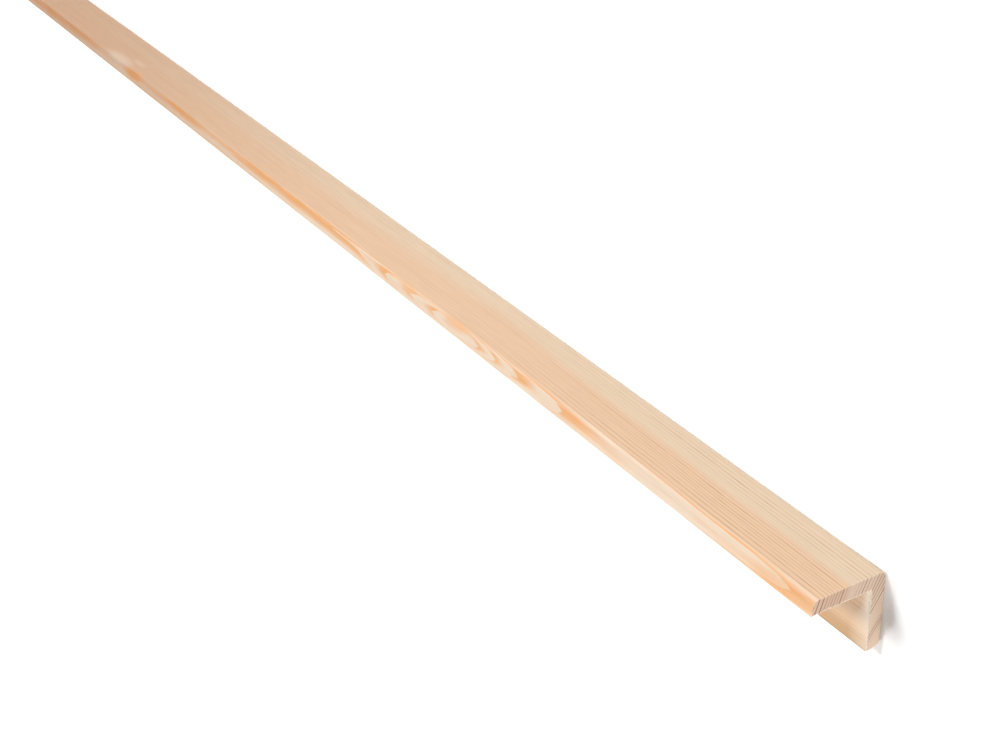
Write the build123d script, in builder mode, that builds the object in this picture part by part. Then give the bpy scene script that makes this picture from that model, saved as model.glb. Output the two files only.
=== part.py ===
"""Corner moulding: one length of planed pine with an L-shaped section and rounded outer edges.

The section is the same from end to end. Two legs of equal width meet at a rounded outer corner, and a
square inner corner sits over the outside corner of a wall. Each leg's free edge is a shallow round nose,
so that it feathers into the wall, with the arris against the outer face eased further.

Frame: +X along the grain and the length, +Z up. The moulding lies on the outer face of one leg, the flat
leg, with the other leg standing at the front, on the -Y side. The origin is at the middle of the underside.
"""

import os

from build123d import *

# Driving dimensions, in millimetres
stock_length = 2400.0  # length as sold
leg_width = 27.0  # outer width of each leg, from the outer corner to the tip of the nose
leg_thickness = 5.1  # wall of each leg
outer_corner_radius = 2.5  # rounded corner where the two outer faces meet
inner_corner_radius = 0.4  # trace of the cutter in the inner corner
nose_drop = 1.5  # how far the nose falls back from its tip, at the inner face, to the outer face
nose_arris_radius = 1.2  # eased arris between the nose and the outer face
sawn_arris = 0.25  # broken edge round each sawn end

# The nose is an arc that leaves the inner face square and meets the outer face at the shoulder
nose_radius = (leg_thickness**2 + nose_drop**2) / (2 * nose_drop)
shoulder = leg_width - nose_drop

# The section's plane has its origin at the outer corner, with x along the flat leg and y up the standing
# leg. Mirrored in the diagonal, one leg gives the other.
near_end = Plane(
    origin=(-stock_length / 2, -leg_width / 2, 0), x_dir=(0, 1, 0), z_dir=(1, 0, 0)
)
diagonal = Plane(origin=(0, 0, 0), x_dir=(0, 0, 1), z_dir=(1, -1, 0))

with BuildPart() as corner_moulding:
    with BuildSketch(near_end) as section:
        with BuildLine():
            outer_face = Line((0, 0), (0, shoulder))
            nose = RadiusArc(outer_face @ 1, (leg_thickness, leg_width), nose_radius)
            Line(nose @ 1, (leg_thickness, leg_thickness))
            mirror(about=diagonal)
        make_face()

        def corner_near(*point):
            return section.vertices().sort_by_distance(point)[0]

        fillet(corner_near(0, 0), outer_corner_radius)
        fillet(corner_near(leg_thickness, leg_thickness), inner_corner_radius)
        fillet([corner_near(0, shoulder), corner_near(shoulder, 0)], nose_arris_radius)
    extrude(amount=stock_length)

    sawn_ends = corner_moulding.faces().filter_by(Axis.X)
    chamfer(sawn_ends.edges(), sawn_arris)

corner_moulding.part.label = "corner_moulding"

os.makedirs("parts", exist_ok=True)
export_step(corner_moulding.part, "parts/corner_moulding.step")
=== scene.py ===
"""A length of pine corner moulding, lying on the outer face of one leg, with its near sawn end at -X."""

import math

import bpy
from mathutils import Matrix, Vector


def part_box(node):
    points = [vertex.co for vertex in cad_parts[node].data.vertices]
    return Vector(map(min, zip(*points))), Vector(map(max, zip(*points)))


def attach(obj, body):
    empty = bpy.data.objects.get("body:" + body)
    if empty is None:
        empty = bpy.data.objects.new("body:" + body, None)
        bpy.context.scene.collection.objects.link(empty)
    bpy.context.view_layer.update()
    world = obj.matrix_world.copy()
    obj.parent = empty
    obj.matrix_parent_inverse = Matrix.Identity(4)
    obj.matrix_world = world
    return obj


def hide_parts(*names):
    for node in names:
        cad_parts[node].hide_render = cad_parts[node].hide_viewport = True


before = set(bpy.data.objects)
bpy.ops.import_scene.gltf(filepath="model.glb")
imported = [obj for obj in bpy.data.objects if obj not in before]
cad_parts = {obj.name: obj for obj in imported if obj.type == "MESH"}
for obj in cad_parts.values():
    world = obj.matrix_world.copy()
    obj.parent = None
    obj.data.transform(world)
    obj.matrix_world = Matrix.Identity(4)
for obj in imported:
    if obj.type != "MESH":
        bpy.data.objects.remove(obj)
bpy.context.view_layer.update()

# Section of the moulding
# The real one is run through a four-sided planer, which leaves two equal legs, a rounded outer corner and
# a shallow round nose on each free edge. The sizes are in millimetres, and the outline is drawn with
# u along the standing leg, up from the floor, and v along the flat leg, back from the standing leg's face.
MM = 0.001
lowest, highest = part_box("corner_moulding")
stock_length = (highest.x - lowest.x) / MM
leg_width = (highest.z - lowest.z) / MM
leg_wall = 5.1
outer_corner_radius = 2.5
inner_corner_radius = 0.4
nose_drop = 1.5
nose_arris_radius = 1.2
planed_step = 0.6  # spacing of the outline's points on the outer faces
inner_step = 0.4  # and on the inner ones
corner_turn = math.radians(9)  # turn from point to point on the round ones


def flat_run(start, end, step_size):
    """Evenly spaced points from start up to, and not including, end."""
    start, end = Vector(start), Vector(end)
    count = max(1, round((end - start).length / step_size))
    return [start.lerp(end, step / count) for step in range(count)]


def round_run(centre, radius, first, last):
    """Points on an arc from the first angle up to, and not including, the last."""
    count = max(3, round(abs(last - first) / corner_turn))
    angles = [first + (last - first) * step / count for step in range(count)]
    return [Vector(centre) + radius * Vector((math.cos(a), math.sin(a))) for a in angles]


def leg_outline():
    """One leg, from the middle of the outer corner round its nose to the middle of the inner corner."""
    nose_radius = (leg_wall**2 + nose_drop**2) / (2 * nose_drop)
    nose_centre = Vector((leg_width - nose_radius, leg_wall))
    arris_rise = leg_wall - nose_arris_radius
    arris_reach = math.sqrt((nose_radius - nose_arris_radius) ** 2 - arris_rise**2)
    arris_centre = nose_centre + Vector((arris_reach, -arris_rise))
    arris_end = -math.atan2(arris_rise, arris_reach)
    tip = Vector((leg_width, leg_wall))
    root = leg_wall + inner_corner_radius
    quarter = math.pi / 2
    points = round_run(
        (outer_corner_radius, outer_corner_radius), outer_corner_radius, -1.5 * quarter, -quarter
    )
    points += flat_run((outer_corner_radius, 0), (arris_centre.x, 0), planed_step)
    points += round_run(arris_centre, nose_arris_radius, -quarter, arris_end)
    points += round_run(nose_centre, nose_radius, arris_end, 0)
    points += flat_run(tip, (root, leg_wall), inner_step)
    points += round_run((root, root), inner_corner_radius, -quarter, -1.5 * quarter)
    return points


standing_leg = leg_outline()
inner_middle = leg_wall + inner_corner_radius * (1 - math.sqrt(0.5))
flat_leg = [point.yx for point in reversed(standing_leg)]
outline = standing_leg + [Vector((inner_middle, inner_middle))] + flat_leg[:-1]

# The sawn length of moulding
# The planed strip is cross-cut to length with a fine saw. The cut leaves each end square, with its edges
# broken by a hair, and the fibres torn back where the teeth leave the wood, most of all on the flat leg's
# inner face. Each wear is in millimetres: how far it reaches across the section, and along the length.
ring_count = 201  # rings of points along the length
broken_edge = Vector((0.15, 0.15))
torn_standing_leg = Vector((0.5, 0.25))
torn_flat_leg = Vector((0.4, 0.5))
torn_near_nose = Vector((0.3, 0.35))
nose_fade = 2.5  # length over which the tear runs out towards the standing leg's nose
tear_fades = (14.0, 16.5)  # where along the flat leg the deep tear runs out
tear_spacing = 1.1
tear_seed = 3.0
least_torn, most_torn = 0.25, 1.6  # how much the wear varies from point to point
noise_low, noise_high = 0.3, 0.7  # the limits of most of a noise's values


def edge_wear(u_at, v_at):
    """The wear on the end's edge at a point of the outline."""
    if min(u_at, v_at) < leg_wall - 0.01:
        return broken_edge
    if u_at > v_at:
        run_out = (u_at - (leg_width - nose_fade)) / nose_fade
        return torn_standing_leg.lerp(broken_edge, min(max(run_out, 0.0), 1.0))
    run_out = (v_at - tear_fades[0]) / (tear_fades[1] - tear_fades[0])
    return torn_flat_leg.lerp(torn_near_nose, min(max(run_out, 0.0), 1.0))


def add(tree, kind, feeds=None, out=0, **settings):
    """Adds a node and returns one of its outputs.

    The settings are the node's properties, and the feeds its inputs: values, or other nodes' outputs.
    """
    made = tree.nodes.new(kind)
    for name, value in settings.items():
        setattr(made, name, value)
    for socket, value in (feeds or {}).items():
        if isinstance(value, bpy.types.NodeSocket):
            tree.links.new(value, made.inputs[socket])
        else:
            made.inputs[socket].default_value = value
    return made.outputs[out] if made.outputs else None


sweep = bpy.data.node_groups.new("sawn_length", "GeometryNodeTree")
sweep.interface.new_socket("Geometry", in_out="OUTPUT", socket_type="NodeSocketGeometry")
sweep_inputs = {
    name: sweep.interface.new_socket(name, in_out="INPUT", socket_type="NodeSocket" + kind).identifier
    for name, kind in (
        ("Section", "Geometry"),
        ("Length", "Float"),
        ("Rings", "Int"),
        ("Tear Spacing", "Float"),
        ("Tear Seed", "Float"),
        ("Timber", "Material"),
    )
}
given = add(sweep, "NodeGroupInput").node.outputs

# The section runs along a straight line that has a ring of points at each station
half = add(sweep, "ShaderNodeMath", {0: given["Length"], 1: 0.5}, operation="MULTIPLY")
back_half = add(sweep, "ShaderNodeMath", {0: given["Length"], 1: -0.5}, operation="MULTIPLY")
line = add(
    sweep,
    "GeometryNodeCurvePrimitiveLine",
    {
        "Start": add(sweep, "ShaderNodeCombineXYZ", {"X": back_half}),
        "End": add(sweep, "ShaderNodeCombineXYZ", {"X": half}),
    },
)
stations = add(sweep, "GeometryNodeResampleCurve", {"Curve": line, "Count": given["Rings"]})
share = add(sweep, "GeometryNodeSplineParameter", out="Factor")
marked = add(
    sweep, "GeometryNodeStoreNamedAttribute", {"Geometry": stations, "Name": "along", "Value": share}
)
profile = add(sweep, "GeometryNodeMeshToCurve", {"Mesh": given["Section"]})
swept = add(
    sweep, "GeometryNodeCurveToMesh", {"Curve": marked, "Profile Curve": profile, "Fill Caps": True}
)

# Rings are counted in from the nearer end, and each end has a side, -1 or 1
along = add(sweep, "GeometryNodeInputNamedAttribute", {"Name": "along"}, out="Attribute")
spaces = add(sweep, "ShaderNodeMath", {0: given["Rings"], 1: 1.0}, operation="SUBTRACT")
from_middle = add(sweep, "ShaderNodeMath", {0: along, 1: 0.5}, operation="SUBTRACT")
side = add(sweep, "ShaderNodeMath", {0: from_middle}, operation="SIGN")
out_from_middle = add(sweep, "ShaderNodeMath", {0: from_middle}, operation="ABSOLUTE")
in_from_end = add(sweep, "ShaderNodeMath", {0: 0.5, 1: out_from_middle}, operation="SUBTRACT")
ring = add(sweep, "ShaderNodeMath", {0: in_from_end, 1: spaces}, operation="MULTIPLY")
last_ring = add(sweep, "ShaderNodeMath", {0: ring, 1: 0.0, 2: 0.4}, operation="COMPARE")
next_ring = add(sweep, "ShaderNodeMath", {0: ring, 1: 1.0, 2: 0.4}, operation="COMPARE")

# The wear is ragged: it varies from point to point round the end, and from end to end
spot = add(sweep, "GeometryNodeInputPosition")
section_spot = add(sweep, "ShaderNodeVectorMath", {0: spot, 1: (0, 1, 1)}, operation="MULTIPLY")
bite_scale = add(sweep, "ShaderNodeMath", {0: 1.0, 1: given["Tear Spacing"]}, operation="DIVIDE")
end_seed = add(sweep, "ShaderNodeMath", {0: given["Tear Seed"], 1: side}, operation="ADD")
bites = add(
    sweep,
    "ShaderNodeTexNoise",
    {"Vector": section_spot, "W": end_seed, "Scale": bite_scale, "Detail": 3.0},
    noise_dimensions="4D",
)
ragged = add(
    sweep,
    "ShaderNodeMapRange",
    {"Value": bites, 1: noise_low, 2: noise_high, 3: least_torn, 4: most_torn},
)

# The last ring draws in by the wear across, and the next ring moves up until the wear along is left
inward = add(
    sweep, "GeometryNodeInputNamedAttribute", {"Name": "inward"}, out="Attribute", data_type="FLOAT_VECTOR"
)
wear_across = add(sweep, "GeometryNodeInputNamedAttribute", {"Name": "wear_across"}, out="Attribute")
wear_along = add(sweep, "GeometryNodeInputNamedAttribute", {"Name": "wear_along"}, out="Attribute")
worn_in = add(sweep, "ShaderNodeMath", {0: wear_across, 1: ragged}, operation="MULTIPLY")
draw_in = add(sweep, "ShaderNodeMath", {0: worn_in, 1: last_ring}, operation="MULTIPLY")
drawn_in = add(sweep, "ShaderNodeVectorMath", {0: inward, "Scale": draw_in}, operation="SCALE")
worn_back = add(sweep, "ShaderNodeMath", {0: wear_along, 1: ragged}, operation="MULTIPLY")
space = add(sweep, "ShaderNodeMath", {0: given["Length"], 1: spaces}, operation="DIVIDE")
gap = add(sweep, "ShaderNodeMath", {0: space, 1: worn_back}, operation="SUBTRACT")
outward = add(sweep, "ShaderNodeMath", {0: gap, 1: side}, operation="MULTIPLY")
move_up = add(sweep, "ShaderNodeMath", {0: outward, 1: next_ring}, operation="MULTIPLY")
moved_up = add(sweep, "ShaderNodeCombineXYZ", {"X": move_up})
offset = add(sweep, "ShaderNodeVectorMath", {0: drawn_in, 1: moved_up}, operation="ADD")
worn = add(sweep, "GeometryNodeSetPosition", {"Geometry": swept, "Offset": offset})

# A face's own mark: 1 on a sawn end, a half on the worn edge round it, and 0 on the planed faces
sawn_mark = add(sweep, "ShaderNodeMapRange", {"Value": ring, 1: 0.0, 2: 1.0, 3: 1.0, 4: 0.0})
noted = add(
    sweep,
    "GeometryNodeStoreNamedAttribute",
    {"Geometry": worn, "Name": "sawn", "Value": sawn_mark},
    domain="FACE",
)
smooth = add(sweep, "GeometryNodeSetShadeSmooth", {"Geometry": noted})
real = add(sweep, "GeometryNodeRealizeInstances", {"Geometry": smooth})
finished = add(sweep, "GeometryNodeSetMaterial", {"Geometry": real, "Material": given["Timber"]})
add(sweep, "NodeGroupOutput", {"Geometry": finished})

# Planed pine
# Slow-grown pine, planed and left bare, so it has only a low sheen. Each year's ring goes from pale early
# wood to dark late wood with a sharp edge. The rings are laid out in the solid, so that the same ones show
# as fine lines on the faces, as tongues along the nose and as stripes across the sawn ends.


def linear(hex_colour):
    """An sRGB hex colour as linear RGBA."""
    parts = [int(hex_colour[at : at + 2], 16) / 255 for at in (0, 2, 4)]
    return [p / 12.92 if p <= 0.04045 else ((p + 0.055) / 1.055) ** 2.4 for p in parts] + [1.0]


pale_early = linear("E8D1B5")  # early wood of the plain rings by the outer corner
dense_early = linear("EBC7A5")  # and of the close rings towards the standing leg's nose
nose_early = linear("F4DCC3")  # and on the noses
flat_leg_early_and_shade = linear("D3B492")  # and in the flat leg, darker in part as painted shade
free_edge_early_and_shade = linear("BD986A")  # and at the flat leg's free edge, darker still in part as painted shade
streak_brown = linear("D9A574")
late_orange = linear("F6AC60")  # late wood that is cut along the ring
late_brown = linear("A97A55")  # late wood that is cut across the ring
# pale torn fibres; the same colour is also painted light in the near end's inner corner
torn_fibre_and_light = linear("F9ECDA")
sawn_early = linear("E2C7B0")
sawn_dense = linear("DDBAA0")
# lighter, on the flat leg's end: painted light where that end gets less light beside the shadowed floor
sawn_painted_light = linear("ECD1B8")
sawn_late = linear("7A4630")
far_tone_and_shade = (0.82, 0.72, 0.65, 1.0)  # what the faces' colour is multiplied by where the tone and painted shade are deepest
far_nose_tone_and_shade = (0.66, 0.59, 0.55, 1.0)  # and the noses', darker still as painted shade
line_width = 0.45  # of the dark line that ends a ring

# Distance of each ring's outer edge from the outer corner, along the standing leg's outer face at the
# near end, in millimetres, with how dark its late wood is
ring_edges = (
    (-18.6, 0.1), (-17.2, 0.2), (-16.0, 0.1), (-14.8, 0.15), (-13.3, 0.2), (-12.3, 0.25), (-11.4, 0.85),
    (-10.3, 0.75), (-9.2, 0.15), (-8.0, 0.1), (-6.9, 0.1), (-5.7, 0.1), (-4.5, 0.2), (-3.0, 1.0),
    (-1.55, 0.5), (-0.15, 0.65), (1.2, 0.65), (2.5, 0.7), (4.0, 0.3), (5.5, 0.55), (7.0, 0.8), (8.4, 0.4),
    (9.7, 0.4), (10.9, 0.15), (12.1, 0.1), (13.2, 0.2), (14.2, 0.45), (15.6, 1.0), (16.75, 0.35),
    (17.85, 0.7), (19.05, 0.5), (20.05, 0.4), (21.25, 0.6), (22.7, 1.0), (24.4, 0.8), (25.95, 1.0),
    (27.8, 1.0), (28.58, 1.0), (29.1, 0.9), (29.5, 0.9), (30.0, 0.9), (31.0, 0.9), (32.2, 0.8), (33.4, 0.8),
)
first_edge, last_edge = ring_edges[0][0], ring_edges[-1][0]
ring_span = last_edge - first_edge
ring_total = len(ring_edges) - 1

# The wood changes along the length: how far the rings have moved towards the outer corner as the trunk's
# line wanders, how much more they lean near the standing leg's face, and how deep the tone is, from 0 to 1.
# The tone is partly the wood's own and partly painted shade: up to about 700 mm it darkens the wood as light
# falling off towards the far end would, and further on it comes and goes.
# Each row is (distance from the near end in millimetres, amount).
grain_drift = (
    (0, 0.0), (25, 0.45), (55, 0.6), (75, 1.05), (95, 1.25), (118, 1.7), (127, 2.0), (157, 2.78), (172, 3.3),
    (182, 3.7), (195, 4.0), (205, 4.1), (218, 3.7), (236, 3.3), (262, 2.7), (285, 2.35), (340, 2.25),
    (390, 2.25), (420, 1.75), (445, 1.75), (467, 2.25), (490, 2.2), (515, 1.75), (550, 1.7), (575, 1.8),
    (610, 2.2), (700, 2.3), (900, 3.4), (1050, 4.2), (1200, 3.3), (1400, 2.2), (1600, 2.7), (1800, 4.0),
    (2000, 4.6), (2200, 3.5), (2400, 2.6),
)
extra_lean = (
    (0, 0.0), (255, 0.0), (285, 0.35), (340, 0.4), (700, 0.4), (900, 0.2), (1100, 0.05), (1400, 0.3),
    (1700, 0.1), (2000, 0.2), (2400, 0.35),
)
tone_and_shade_drift = (
    (0, 0.0), (220, 0.0), (300, 0.06), (380, 0.25), (460, 0.5), (540, 0.74), (620, 0.93), (700, 1.0),
    (760, 1.0), (1000, 0.55), (1250, 0.3), (1500, 0.5), (1750, 0.35), (2100, 0.6), (2400, 0.3),
)
most_drift = max(amount for _, amount in grain_drift)
most_lean = max(amount for _, amount in extra_lean)
lean_depth = 3.5  # how far in from the standing leg's face the extra lean reaches

pine = bpy.data.materials.new("planed_pine")
pine.use_nodes = True
wood = pine.node_tree
wood.nodes.clear()
soft = {"interpolation_type": "SMOOTHSTEP"}  # for a Map Range node without hard limits
colours = {"out": 2, "data_type": "RGBA"}  # for a Mix node, whose share is 0 and whose colours are 6 and 7


def draw_curve(curve, points):
    """Gives a Float Curve straight runs between points with both values from 0 to 1."""
    mapping = curve.node.mapping
    drawn_points = mapping.curves[0].points
    while len(drawn_points) < len(points):
        drawn_points.new(0.5, 0.5)
    for drawn_point, place_on_curve in zip(drawn_points, points):
        drawn_point.location = place_on_curve
        drawn_point.handle_type = "VECTOR"
    mapping.update()


# Places in millimetres: w along the length from the near end, with v and u as in the section's outline
place = add(wood, "ShaderNodeTexCoord", out="Object")
from_corner = add(
    wood,
    "ShaderNodeMapping",
    {"Vector": place, "Location": (stock_length / 2, leg_width / 2, 0), "Scale": (1 / MM,) * 3},
)
w, v, u = add(wood, "ShaderNodeSeparateXYZ", {"Vector": from_corner}).node.outputs
length_share = add(wood, "ShaderNodeMath", {0: w, 1: stock_length}, operation="DIVIDE")

# The rings are flatter to the flat leg at the nose than round the outer corner
lean_by_corner, lean_by_nose = 0.70, 0.34
u_less_v = add(wood, "ShaderNodeMath", {0: u, 1: v}, operation="SUBTRACT")
lean = add(
    wood, "ShaderNodeMapRange", {"Value": u_less_v, 1: -16.0, 2: 13.0, 3: lean_by_corner, 4: lean_by_nose}
)
leant = add(wood, "ShaderNodeMath", {0: v, 1: lean}, operation="MULTIPLY")
upright = add(wood, "ShaderNodeMath", {0: u, 1: leant}, operation="SUBTRACT")
lean_curve = add(wood, "ShaderNodeFloatCurve", {"Value": length_share})
draw_curve(lean_curve, [(at / stock_length, amount / most_lean) for at, amount in extra_lean])
near_face = add(wood, "ShaderNodeMath", {0: v, 1: lean_depth}, operation="MINIMUM")
lean_more = add(wood, "ShaderNodeMath", {0: lean_curve, 1: -most_lean}, operation="MULTIPLY")
upright_more = add(
    wood, "ShaderNodeMath", {0: near_face, 1: lean_more, 2: upright}, operation="MULTIPLY_ADD"
)
drift_curve = add(wood, "ShaderNodeFloatCurve", {"Value": length_share})
draw_curve(drift_curve, [(at / stock_length, amount / most_drift) for at, amount in grain_drift])
drifted = add(
    wood, "ShaderNodeMath", {0: drift_curve, 1: most_drift, 2: upright_more}, operation="MULTIPLY_ADD"
)

# Slow waves in the rings. The spacing of this and the other patterns is in millimetres along w, v and u.
wave_spacing = Vector((60, 7, 7))
wave_height = 0.15
wave_spot = add(wood, "ShaderNodeVectorMath", {0: from_corner, 1: wave_spacing}, operation="DIVIDE")
wave = add(
    wood, "ShaderNodeTexNoise", {"Vector": wave_spot, "Scale": 1.0, "Detail": 3.0, "Roughness": 0.7}
)
waved = add(wood, "ShaderNodeMapRange", {"Value": wave, 3: -wave_height, 4: wave_height}, clamp=False)
wandering = add(wood, "ShaderNodeMath", {0: drifted, 1: waved}, operation="ADD")

# A pin knot under the standing leg's nose bends the rings round it
knot_place = Vector((556, 0.5, 25))  # along the length, back from the face and up from the floor
knot_reach = Vector((16, 3, 3))
knot_lift = 1.1  # how far the rings move at the knot
to_knot = add(wood, "ShaderNodeVectorMath", {0: from_corner, 1: knot_place}, operation="SUBTRACT")
knot_spot = add(wood, "ShaderNodeVectorMath", {0: to_knot, 1: knot_reach}, operation="DIVIDE")
from_knot = add(wood, "ShaderNodeVectorMath", {0: knot_spot}, out="Value", operation="LENGTH")
knot_bend = add(wood, "ShaderNodeMapRange", {"Value": from_knot, 3: knot_lift, 4: 0.0}, **soft)
across_rings = add(wood, "ShaderNodeMath", {0: wandering, 1: knot_bend}, operation="ADD")

# Place in the ring, from 0 at the start of its early wood to 1 at its outer edge
edge_shares = [(at - first_edge) / ring_span for at, _ in ring_edges]
ring_place = add(wood, "ShaderNodeMapRange", {"Value": across_rings, 1: first_edge, 2: last_edge})
ring_curve = add(wood, "ShaderNodeFloatCurve", {"Value": ring_place})
draw_curve(ring_curve, [(edge_share, k / ring_total) for k, edge_share in enumerate(edge_shares)])
ring_number = add(wood, "ShaderNodeMath", {0: ring_curve, 1: ring_total}, operation="MULTIPLY")
in_ring = add(wood, "ShaderNodeMath", {0: ring_number}, operation="FRACT")
dark_curve = add(wood, "ShaderNodeFloatCurve", {"Value": ring_place})
draw_curve(dark_curve, [(edge_share, dark) for edge_share, (_, dark) in zip(edge_shares, ring_edges)])
ring_widths = [(b - a, (a + b) / 2) for (a, _), (b, _) in zip(ring_edges, ring_edges[1:])]
widest_ring = max(ring_widths)[0]
width_curve = add(wood, "ShaderNodeFloatCurve", {"Value": ring_place})
draw_curve(width_curve, [((at - first_edge) / ring_span, width / widest_ring) for width, at in ring_widths])
line_share = add(
    wood, "ShaderNodeMath", {0: line_width / widest_ring, 1: width_curve}, operation="DIVIDE"
)
line_start = add(wood, "ShaderNodeMath", {0: 1.0, 1: line_share}, operation="SUBTRACT")

# The late wood comes and goes along a ring, and its dark line breaks up further
fade_spacing = Vector((22, 1.6, 1.6))
break_spacing = Vector((8, 1, 1))
fade_spot = add(wood, "ShaderNodeVectorMath", {0: from_corner, 1: fade_spacing}, operation="DIVIDE")
fade = add(wood, "ShaderNodeTexNoise", {"Vector": fade_spot, "Scale": 1.0, "Detail": 3.0})
fading = add(wood, "ShaderNodeMapRange", {"Value": fade, 1: 0.25, 2: 0.75, 3: 0.55, 4: 1.5})
darkness = add(wood, "ShaderNodeMath", {0: dark_curve, 1: fading}, operation="MULTIPLY")
break_spot = add(wood, "ShaderNodeVectorMath", {0: from_corner, 1: break_spacing}, operation="DIVIDE")
breaks = add(wood, "ShaderNodeTexNoise", {"Vector": break_spot, "Scale": 1.0, "Detail": 2.0})
broken = add(wood, "ShaderNodeMapRange", {"Value": breaks, 1: noise_low, 2: noise_high, 3: 0.35, 4: 1.5})
line_broken = add(wood, "ShaderNodeMath", {0: darkness, 1: broken}, operation="MULTIPLY")

# Which places are on an inner face, and which on a nose
skin = 0.15  # how thick the inner faces' own colour is
nose_begins, nose_whole = 24.0, 25.4  # distances from the outer corner
depth = add(wood, "ShaderNodeMath", {0: u, 1: v}, operation="MINIMUM")
inside = add(wood, "ShaderNodeMapRange", {"Value": depth, 1: leg_wall - skin, 2: leg_wall})
outside = add(wood, "ShaderNodeMath", {0: 1.0, 1: inside}, operation="SUBTRACT")
free_edge = add(wood, "ShaderNodeMath", {0: u, 1: v}, operation="MAXIMUM")
by_edge = add(wood, "ShaderNodeMapRange", {"Value": free_edge, 1: nose_begins, 2: nose_whole}, **soft)
on_nose = add(wood, "ShaderNodeMath", {0: by_edge, 1: outside}, operation="MULTIPLY")

# The late wood of a ring: a soft band, which starts earlier on the noses, and the dark line that ends it
nose_start = add(wood, "ShaderNodeMapRange", {"Value": w, 1: 240.0, 2: 330.0, 3: 0.4, 4: 0.25})
band_start = add(wood, "ShaderNodeMapRange", {"Value": on_nose, 3: 0.6, 4: nose_start})
late_band = add(wood, "ShaderNodeMapRange", {"Value": in_ring, 1: band_start, 2: 0.95}, **soft)
late_line = add(wood, "ShaderNodeMapRange", {"Value": in_ring, 1: line_start, 2: 0.97}, **soft)
band_dark = add(
    wood, "ShaderNodeMath", {0: late_band, 1: darkness}, operation="MULTIPLY", use_clamp=True
)
line_dark = add(
    wood, "ShaderNodeMath", {0: late_line, 1: line_broken}, operation="MULTIPLY", use_clamp=True
)

# On the noses the band is strong and orange, less so towards the inner face. On the faces the brown line is,
# and it is fainter further along and by the outer corner.
nose_strength, face_strength = 0.85, 0.4
deep_share = add(wood, "ShaderNodeMapRange", {"Value": w, 1: 15.0, 2: 40.0, 3: 0.65, 4: 0.2})
nose_weight = add(
    wood, "ShaderNodeMapRange", {"Value": depth, 1: 2.0, 2: 4.0, 3: nose_strength, 4: deep_share}, **soft
)
line_fades = add(wood, "ShaderNodeMapRange", {"Value": w, 1: 60.0, 2: 180.0, 3: 1.0, 4: 0.2})
line_clear = add(wood, "ShaderNodeMapRange", {"Value": u, 1: 2.0, 2: 6.0, 3: 0.4, 4: 1.0})
line_reach = add(wood, "ShaderNodeMath", {0: line_fades, 1: line_clear}, operation="MULTIPLY")
face_weight = add(wood, "ShaderNodeMath", {0: line_reach, 1: face_strength}, operation="MULTIPLY")
band_weight = add(wood, "ShaderNodeMapRange", {"Value": on_nose, 3: face_weight, 4: nose_weight})
mottle = add(wood, "ShaderNodeMapRange", {"Value": fade, 1: 0.5, 2: 0.75, 3: 0.0, 4: 0.35})
nose_mottle = add(wood, "ShaderNodeMath", {0: mottle, 1: on_nose}, operation="MULTIPLY")
orange_band = add(wood, "ShaderNodeMath", {0: band_dark, 1: band_weight}, operation="MULTIPLY")
orange = add(wood, "ShaderNodeMath", {0: orange_band, 1: nose_mottle}, operation="MAXIMUM")
line_weight = add(wood, "ShaderNodeMapRange", {"Value": on_nose, 3: 0.7, 4: 0.1})
line_seen = add(wood, "ShaderNodeMath", {0: line_weight, 1: line_reach}, operation="MULTIPLY")
brown = add(wood, "ShaderNodeMath", {0: line_dark, 1: line_seen}, operation="MULTIPLY")

# Early wood of the planed faces, zone by zone across the rings, with the late wood over it
pale_fade = 0.6  # how much of the pale zone is gone where the tone and painted shade are deepest
tone_and_shade = add(wood, "ShaderNodeFloatCurve", {"Value": length_share})
draw_curve(tone_and_shade, [(at / stock_length, amount) for at, amount in tone_and_shade_drift])
zone_start = add(wood, "ShaderNodeMapRange", {"Value": w, 1: 100.0, 2: 300.0, 3: 11.0, 4: 6.5})
zone_end = add(wood, "ShaderNodeMapRange", {"Value": w, 1: 100.0, 2: 300.0, 3: 15.0, 4: 18.0})
dense_zone = add(wood, "ShaderNodeMapRange", {"Value": across_rings, 1: zone_start, 2: zone_end}, **soft)
# The flat leg's zone, and most of all its free edge, is darker partly from its own wood and partly as painted
# shade on its inner face.
flat_leg_zone = add(wood, "ShaderNodeMapRange", {"Value": across_rings, 1: 1.0, 2: -3.0}, **soft)
free_edge_zone = add(wood, "ShaderNodeMapRange", {"Value": across_rings, 1: -9.0, 2: -12.0}, **soft)
# The noses' pale early wood gives way further along, as painted shade of light falling off towards the far
# end.
nose_pale_before_shade = add(wood, "ShaderNodeMapRange", {"Value": w, 1: 250.0, 2: 650.0, 3: 1.0, 4: 0.2})
nose_zone = add(wood, "ShaderNodeMath", {0: on_nose, 1: nose_pale_before_shade}, operation="MULTIPLY")
pale_fades = add(wood, "ShaderNodeMath", {0: tone_and_shade, 1: pale_fade}, operation="MULTIPLY")
dense_share = add(wood, "ShaderNodeMath", {0: dense_zone, 1: pale_fades}, operation="MAXIMUM")
early = add(wood, "ShaderNodeMix", {0: dense_share, 6: pale_early, 7: dense_early}, **colours)
early_flat_leg = add(wood, "ShaderNodeMix", {0: flat_leg_zone, 6: early, 7: flat_leg_early_and_shade}, **colours)
early_free_edge = add(wood, "ShaderNodeMix", {0: free_edge_zone, 6: early_flat_leg, 7: free_edge_early_and_shade}, **colours)
early_nose = add(wood, "ShaderNodeMix", {0: nose_zone, 6: early_free_edge, 7: nose_early}, **colours)
banded = add(wood, "ShaderNodeMix", {0: orange, 6: early_nose, 7: late_orange}, **colours)
lined = add(wood, "ShaderNodeMix", {0: brown, 6: banded, 7: late_brown}, **colours)

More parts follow.
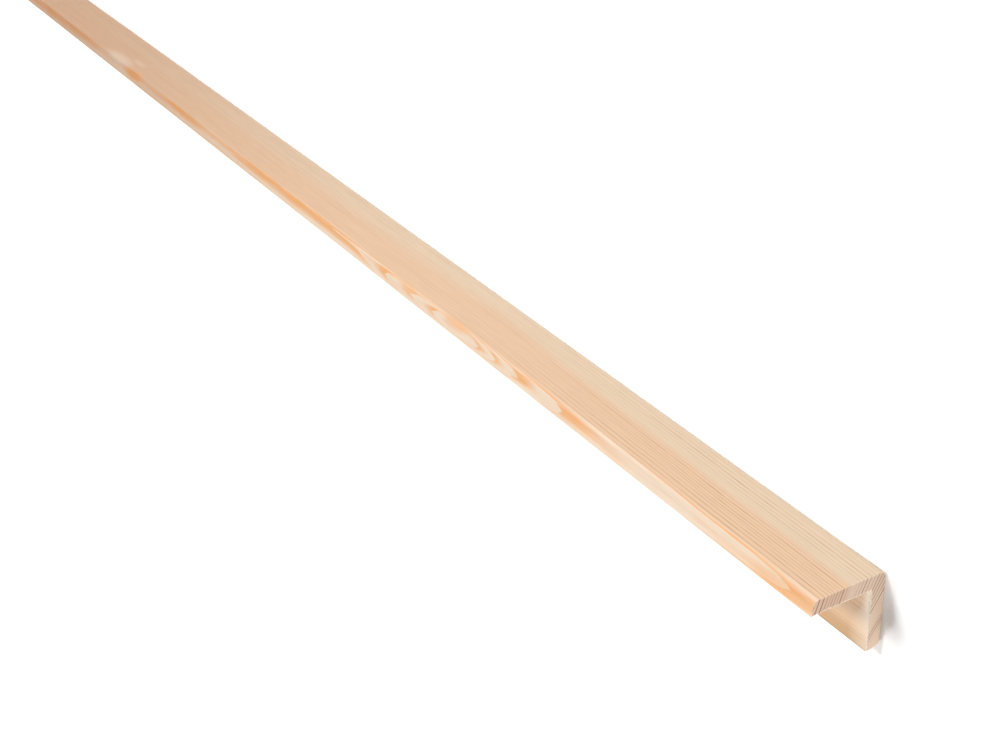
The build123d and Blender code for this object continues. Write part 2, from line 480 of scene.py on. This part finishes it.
# Brown streaks along the grain, strongest on the inner faces
streak_spacing = Vector((70, 1.1, 1.1))
streak_strength = 0.7
streak_spot = add(wood, "ShaderNodeVectorMath", {0: from_corner, 1: streak_spacing}, operation="DIVIDE")
streak = add(wood, "ShaderNodeTexNoise", {"Vector": streak_spot, "Scale": 1.0, "Detail": 2.0})
streaky = add(wood, "ShaderNodeMapRange", {"Value": streak, 1: 0.49, 2: 0.62, 3: 0.0, 4: streak_strength})
face_streak = add(wood, "ShaderNodeMapRange", {"Value": w, 1: 60.0, 2: 200.0, 3: 0.05, 4: 0.25})
streak_share = add(wood, "ShaderNodeMath", {0: face_streak, 1: inside}, operation="MAXIMUM")
streak_here = add(wood, "ShaderNodeMath", {0: streaky, 1: streak_share}, operation="MULTIPLY")
marked_wood = add(wood, "ShaderNodeMix", {0: streak_here, 6: lined, 7: streak_brown}, **colours)

# Marks in the grain: torn and resinous wood round the knot, and warm stains along the nose. Each has its
# place and its reach along the length, back from the face and up from the floor, its colour and its strength.
grain_marks = (
    (Vector((575, 1.5, 26.5)), Vector((60, 5, 4)), nose_early, 0.5),
    (Vector((549, 0.6, 26.0)), Vector((18, 4, 3.0)), late_orange, 0.9),
    (Vector((578, 0, 22.8)), Vector((24, 4, 5.0)), torn_fibre_and_light, 0.6),
    (Vector((562, 0, 17.5)), Vector((12, 3, 2.4)), torn_fibre_and_light, 0.4),
    (Vector((486, 0, 25.8)), Vector((17, 2.5, 1.6)), late_orange, 0.6),
    (Vector((343, 1.4, 26.2)), Vector((18, 2.2, 2.5)), late_orange, 0.45),
    (Vector((238, 0.4, 25.7)), Vector((10, 1.8, 1.8)), late_orange, 0.4),
    (Vector((200, 0.4, 25.7)), Vector((14, 2.0, 1.9)), late_orange, 0.5),
    (Vector((152, 0.9, 26.2)), Vector((9, 1.8, 1.8)), late_orange, 0.35),
    (Vector((26, 3.4, 26.8)), Vector((26, 2.8, 2.5)), late_orange, 0.22),
    (Vector((15, 2.6, 26.6)), Vector((17, 3.2, 3.0)), late_orange, 0.3),
)
mark_core = 0.3  # share of its reach within which a mark is at full strength
for centre, reach, colour, strength in grain_marks:
    to_mark = add(wood, "ShaderNodeVectorMath", {0: from_corner, 1: centre}, operation="SUBTRACT")
    mark_spot = add(wood, "ShaderNodeVectorMath", {0: to_mark, 1: reach}, operation="DIVIDE")
    from_mark = add(wood, "ShaderNodeVectorMath", {0: mark_spot}, out="Value", operation="LENGTH")
    mark_here = add(
        wood, "ShaderNodeMapRange", {"Value": from_mark, 1: 1.0, 2: mark_core, 3: 0.0, 4: strength}, **soft
    )
    marked_wood = add(wood, "ShaderNodeMix", {0: mark_here, 6: marked_wood, 7: colour}, **colours)
# Towards the far end the colour is multiplied down: partly the wood's tone, partly painted shade, more on the
# noses.
tone_and_shade_tint = add(wood, "ShaderNodeMix", {0: on_nose, 6: far_tone_and_shade, 7: far_nose_tone_and_shade}, **colours)
planed = add(wood, "ShaderNodeMix", {0: tone_and_shade, 6: marked_wood, 7: tone_and_shade_tint}, blend_type="MULTIPLY", **colours)

# Torn fibres round the sawn ends: pale on the inner edges, hardly so on the outer ones. At the near end the
# inner faces are paler too: partly scuffing, and partly painted light that lifts the shade in the inner
# corner, so it is strongest there.
sawn_here = add(wood, "ShaderNodeAttribute", out="Fac", attribute_name="sawn")
torn_most = add(wood, "ShaderNodeMapRange", {"Value": depth, 1: 1.0, 2: 3.0, 3: 0.25, 4: 0.85})
torn = add(wood, "ShaderNodeMapRange", {"Value": sawn_here, 1: 0.1, 2: 0.4, 3: 0.0, 4: torn_most})
# Paler inside at the near end: partly scuffing, partly painted light in the shaded inner corner.
scuff_light_most = add(wood, "ShaderNodeMapRange", {"Value": v, 1: 12.0, 2: 20.0, 3: 0.9, 4: 0.4})
scuff_light_reach = add(wood, "ShaderNodeMapRange", {"Value": v, 1: 12.0, 2: 20.0, 3: 3.5, 4: 8.0})
scuff_and_painted_light = add(wood, "ShaderNodeMapRange", {"Value": w, 1: 1.0, 2: scuff_light_reach, 3: scuff_light_most, 4: 0.0})
inside_scuff_and_light = add(wood, "ShaderNodeMath", {0: inside, 1: scuff_and_painted_light}, operation="MULTIPLY")
frayed_and_painted_light = add(wood, "ShaderNodeMath", {0: torn, 1: inside_scuff_and_light}, operation="MAXIMUM")
edged = add(wood, "ShaderNodeMix", {0: frayed_and_painted_light, 6: planed, 7: torn_fibre_and_light}, **colours)

# Sawn ends, where the late wood is a broader and darker line
end_line_growth = 1.5  # how much broader the line is than on the faces
end_line_strength = 0.85
end_grain = add(wood, "ShaderNodeMapRange", {"Value": sawn_here, 1: 0.7, 2: 0.9})
end_start = add(
    wood, "ShaderNodeMath", {0: line_share, 1: -end_line_growth, 2: 1.0}, operation="MULTIPLY_ADD"
)
end_line = add(wood, "ShaderNodeMapRange", {"Value": in_ring, 1: end_start, 2: 0.9}, **soft)
end_strength = add(wood, "ShaderNodeMath", {0: dark_curve, 1: end_line_strength}, operation="MULTIPLY")
end_dark = add(wood, "ShaderNodeMath", {0: end_line, 1: end_strength}, operation="MULTIPLY")
sawn_base = add(wood, "ShaderNodeMix", {0: dense_zone, 6: sawn_early, 7: sawn_dense}, **colours)
# The flat leg's part of the end is painted lighter, standing in for the light it lacks beside the shadowed
# floor.
sawn_base_and_light = add(wood, "ShaderNodeMix", {0: flat_leg_zone, 6: sawn_base, 7: sawn_painted_light}, **colours)
sawn = add(wood, "ShaderNodeMix", {0: end_dark, 6: sawn_base_and_light, 7: sawn_late}, **colours)
grain_colour = add(wood, "ShaderNodeMix", {0: end_grain, 6: edged, 7: sawn}, **colours)

# Fibres: fine streaks along the grain, which are specks on the sawn ends. Real ones are about 0.03 mm across,
# too fine to show, so they are drawn ten times coarser.
fibre_spacing = Vector((16, 0.3, 0.3))
fibre_height = 0.03
fibre_relief = 0.6  # strength of the bump
planed_roughness, sawn_roughness = 0.58, 0.8
fibre_spot = add(wood, "ShaderNodeVectorMath", {0: from_corner, 1: fibre_spacing}, operation="DIVIDE")
fibre = add(wood, "ShaderNodeTexNoise", {"Vector": fibre_spot, "Scale": 1.0, "Detail": 3.0})
fibre_shade = add(wood, "ShaderNodeMapRange", {"Value": fibre, 1: 0.2, 2: 0.8, 3: 0.92, 4: 1.07})
fibrous = add(
    wood, "ShaderNodeMix", {0: 1.0, 6: grain_colour, 7: fibre_shade}, blend_type="MULTIPLY", **colours
)
roughness = add(wood, "ShaderNodeMapRange", {"Value": end_grain, 3: planed_roughness, 4: sawn_roughness})
bump = add(
    wood, "ShaderNodeBump", {"Strength": fibre_relief, "Distance": fibre_height * MM, "Height": fibre}
)
shader = add(
    wood, "ShaderNodeBsdfPrincipled", {"Base Color": fibrous, "Roughness": roughness, "Normal": bump}
)
add(wood, "ShaderNodeOutputMaterial", {"Surface": shader})

# The moulding itself
# The section's outline, with the wear on its points, is swept and made a plain mesh. It has its own bake
# map: the planed faces unrolled into one strip, as long as the map is wide, and the sawn ends above it.
sharp_turn = math.radians(35)  # turn at which an edge is a sharp one
section_mesh = bpy.data.meshes.new("corner_moulding")
spots = [((leg_width / 2 - v_at) * MM, -u_at * MM, 0) for u_at, v_at in outline]
count = len(spots)
section_mesh.from_pydata(spots, [(k, (k + 1) % count) for k in range(count)], [])
section_mesh.attributes.new("inward", "FLOAT_VECTOR", "POINT")
for name in ("wear_across", "wear_along", "around"):
    section_mesh.attributes.new(name, "FLOAT", "POINT")
for k, (u_at, v_at) in enumerate(outline):
    run = (outline[(k + 1) % count] - outline[k - 1]).normalized()
    wear = edge_wear(u_at, v_at) * MM
    section_mesh.attributes["inward"].data[k].vector = (0, run.x, -run.y)
    section_mesh.attributes["wear_across"].data[k].value = wear.x
    section_mesh.attributes["wear_along"].data[k].value = wear.y
    section_mesh.attributes["around"].data[k].value = k / count

moulding = bpy.data.objects.new("corner_moulding_planed", section_mesh)
bpy.context.scene.collection.objects.link(moulding)
sweeping = moulding.modifiers.new("sawn_length", "NODES")
sweeping.node_group = sweep
sweeping[sweep_inputs["Length"]] = stock_length * MM
sweeping[sweep_inputs["Rings"]] = ring_count
sweeping[sweep_inputs["Tear Spacing"]] = tear_spacing * MM
sweeping[sweep_inputs["Tear Seed"]] = tear_seed
sweeping[sweep_inputs["Timber"]] = pine
depsgraph = bpy.context.evaluated_depsgraph_get()
swept_mesh = bpy.data.meshes.new_from_object(moulding.evaluated_get(depsgraph))
moulding.modifiers.clear()
moulding.data = swept_mesh
swept_mesh.set_sharp_from_angle(angle=sharp_turn)

strip_share = 0.70  # height of the strip on the map
end_share = 0.28  # width and height of each sawn end on it
end_places = ((0.01, 0.71), (0.31, 0.71))  # lower corners of the near end and the far end
bake_map = swept_mesh.uv_layers.new(name="OFBake")
along_at = swept_mesh.attributes["along"].data
around_at = swept_mesh.attributes["around"].data
for face in swept_mesh.polygons:
    if face.loop_total > 4:
        place_u, place_v = end_places[face.normal.x > 0]
        for loop, vertex in zip(face.loop_indices, face.vertices):
            _, y_at, z_at = swept_mesh.vertices[vertex].co / MM / leg_width * end_share
            bake_map.uv[loop].vector = (place_u + end_share / 2 + y_at, place_v + z_at)
        continue
    places = [around_at[vertex].value for vertex in face.vertices]
    if max(places) - min(places) > 0.5:
        places = [value if value > 0.5 else 1.0 for value in places]
    for loop, vertex, value in zip(face.loop_indices, face.vertices, places):
        bake_map.uv[loop].vector = (along_at[vertex].value, value * strip_share)

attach(moulding, "root")
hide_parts("corner_moulding")

# Floor
# A plain white floor. What the camera sees of it is lifted to white by a glow, except close to the near end,
# where it keeps the moulding's soft shadow. The glow fades out towards the middle of that shadow, so the
# floor round it is a little greyer even where no shadow falls, a painted shade, and elsewhere the glow is
# painted light that washes the shadow out.
floor_size = 30.0
floor_lift = 0.42
lift_begins, lift_whole = 0.004, 0.026  # distances from the middle of the shadow, in metres
near = Vector((lowest.x, 0, 0))
floor_mesh = bpy.data.meshes.new("floor")
edge = floor_size / 2
floor_corners = [(-edge, -edge, 0), (edge, -edge, 0), (edge, edge, 0), (-edge, edge, 0)]
floor_mesh.from_pydata(floor_corners, [], [(0, 1, 2, 3)])
floor = bpy.data.objects.new("floor", floor_mesh)
bpy.context.scene.collection.objects.link(floor)
white_floor = bpy.data.materials.new("white_floor")
white_floor.use_nodes = True
paint = white_floor.node_tree
paint.nodes.clear()


def seen_straight(tree):
    """1 for what the camera sees straight, mirrored or through glass, and 0 for what lights the scene."""
    path = add(tree, "ShaderNodeLightPath").node.outputs
    camera_ray, glossy_ray = path["Is Camera Ray"], path["Is Glossy Ray"]
    seen = add(tree, "ShaderNodeMath", {0: camera_ray, 1: glossy_ray}, operation="MAXIMUM")
    return add(tree, "ShaderNodeMath", {0: seen, 1: path["Is Transmission Ray"]}, operation="MAXIMUM")


floor_spot = add(paint, "ShaderNodeTexCoord", out="Object")
shade_spot = near + Vector((-0.003, 0.004, 0))
from_shade = add(
    paint, "ShaderNodeVectorMath", {0: floor_spot, 1: shade_spot}, out="Value", operation="DISTANCE"
)
# The glow, less towards the shadow's middle: painted shade round the near end, painted light that washes out
# the shadow elsewhere.
lift = add(
    paint,
    "ShaderNodeMapRange",
    {"Value": from_shade, 1: lift_begins, 2: lift_whole, 3: 0.0, 4: floor_lift},
)
seen_lift = add(paint, "ShaderNodeMath", {0: lift, 1: seen_straight(paint)}, operation="MULTIPLY")
matt = add(paint, "ShaderNodeBsdfDiffuse", {"Color": linear("F2F2F2")})
glow = add(paint, "ShaderNodeEmission", {"Strength": seen_lift})
both = add(paint, "ShaderNodeAddShader", {0: matt, 1: glow})
add(paint, "ShaderNodeOutputMaterial", {"Surface": both})
floor_mesh.materials.append(white_floor)

# Light
# A broad sun lamp, high up and in front, throws the shadow back and out past the near end. A low one behind
# lights the inner faces along the whole length. A low lamp in front lights the standing leg's face, another
# one faces the sawn end, and the room is white all round.
scene = bpy.context.scene
scene.view_settings.view_transform = "Standard"


def hang(name, lamp, spot, aim):
    """Places a lamp at a spot, turned to its aim."""
    lamp_object = bpy.data.objects.new(name, lamp)
    lamp_object.location = spot
    lamp_object.rotation_euler = (Vector(aim) - Vector(spot)).to_track_quat("-Z", "Y").to_euler()
    scene.collection.objects.link(lamp_object)


sun_angle = math.radians(12)  # how broad a sun lamp looks from the moulding
lamp_size = 0.5
room_level = 0.38  # light of the room, where 1 is white
for name, level, spot in (  # the level is a white surface's, facing the lamp
    ("broad_lamp", 0.445, Vector((0.28, -0.55, 1.0))),
    ("back_lamp", 0.62, Vector((0.39, 0.87, 0.335))),
):
    lamp = bpy.data.lights.new(name, "SUN")
    lamp.energy = level * math.pi
    lamp.angle = sun_angle
    hang(name, lamp, near + spot, near)
for name, power, spot in (
    ("front_lamp", 1.78, Vector((0.1, -0.9, 0.2))),
    ("end_fill", 3.8, Vector((-0.95, 0.15, 0.12))),
):
    lamp = bpy.data.lights.new(name, "AREA")
    lamp.size = lamp_size
    lamp.energy = power
    hang(name, lamp, near + spot, near)
room = bpy.data.worlds.new("white_room")
room.use_nodes = True
room_tree = room.node_tree
room_light = add(
    room_tree, "ShaderNodeMapRange", {"Value": seen_straight(room_tree), 3: room_level, 4: 1.0}
)
background = room_tree.nodes["Background"]
background.inputs["Color"].default_value = (1, 1, 1, 1)
room_tree.links.new(room_light, background.inputs["Strength"])
scene.world = room

# Camera
# It stands past the near end and in front, and is rolled so that the standing leg's face looks up in the
# frame. The places are in metres, and the focal length is in pixels of the 1000-pixel-wide frame.
camera_spot = Vector((-1.46619, -0.28783, 0.27343))
camera_right = Vector((-0.51202, 0.03696, -0.85818)).normalized()
camera_up = Vector((0.40494, -0.87071, -0.2791))
focal_pixels = 1617.8
frame_pixels = 1000
camera_back = camera_right.cross(camera_up).normalized()
camera_up = camera_back.cross(camera_right)
lens = bpy.data.cameras.new("camera")
lens.sensor_fit = "HORIZONTAL"
lens.sensor_width = 36.0
lens.lens = focal_pixels / frame_pixels * lens.sensor_width
camera = bpy.data.objects.new("camera", lens)
camera.matrix_world = Matrix.Translation(camera_spot) @ Matrix(
    (camera_right, camera_up, camera_back)
).transposed().to_4x4()
scene.collection.objects.link(camera)
scene.camera = camera
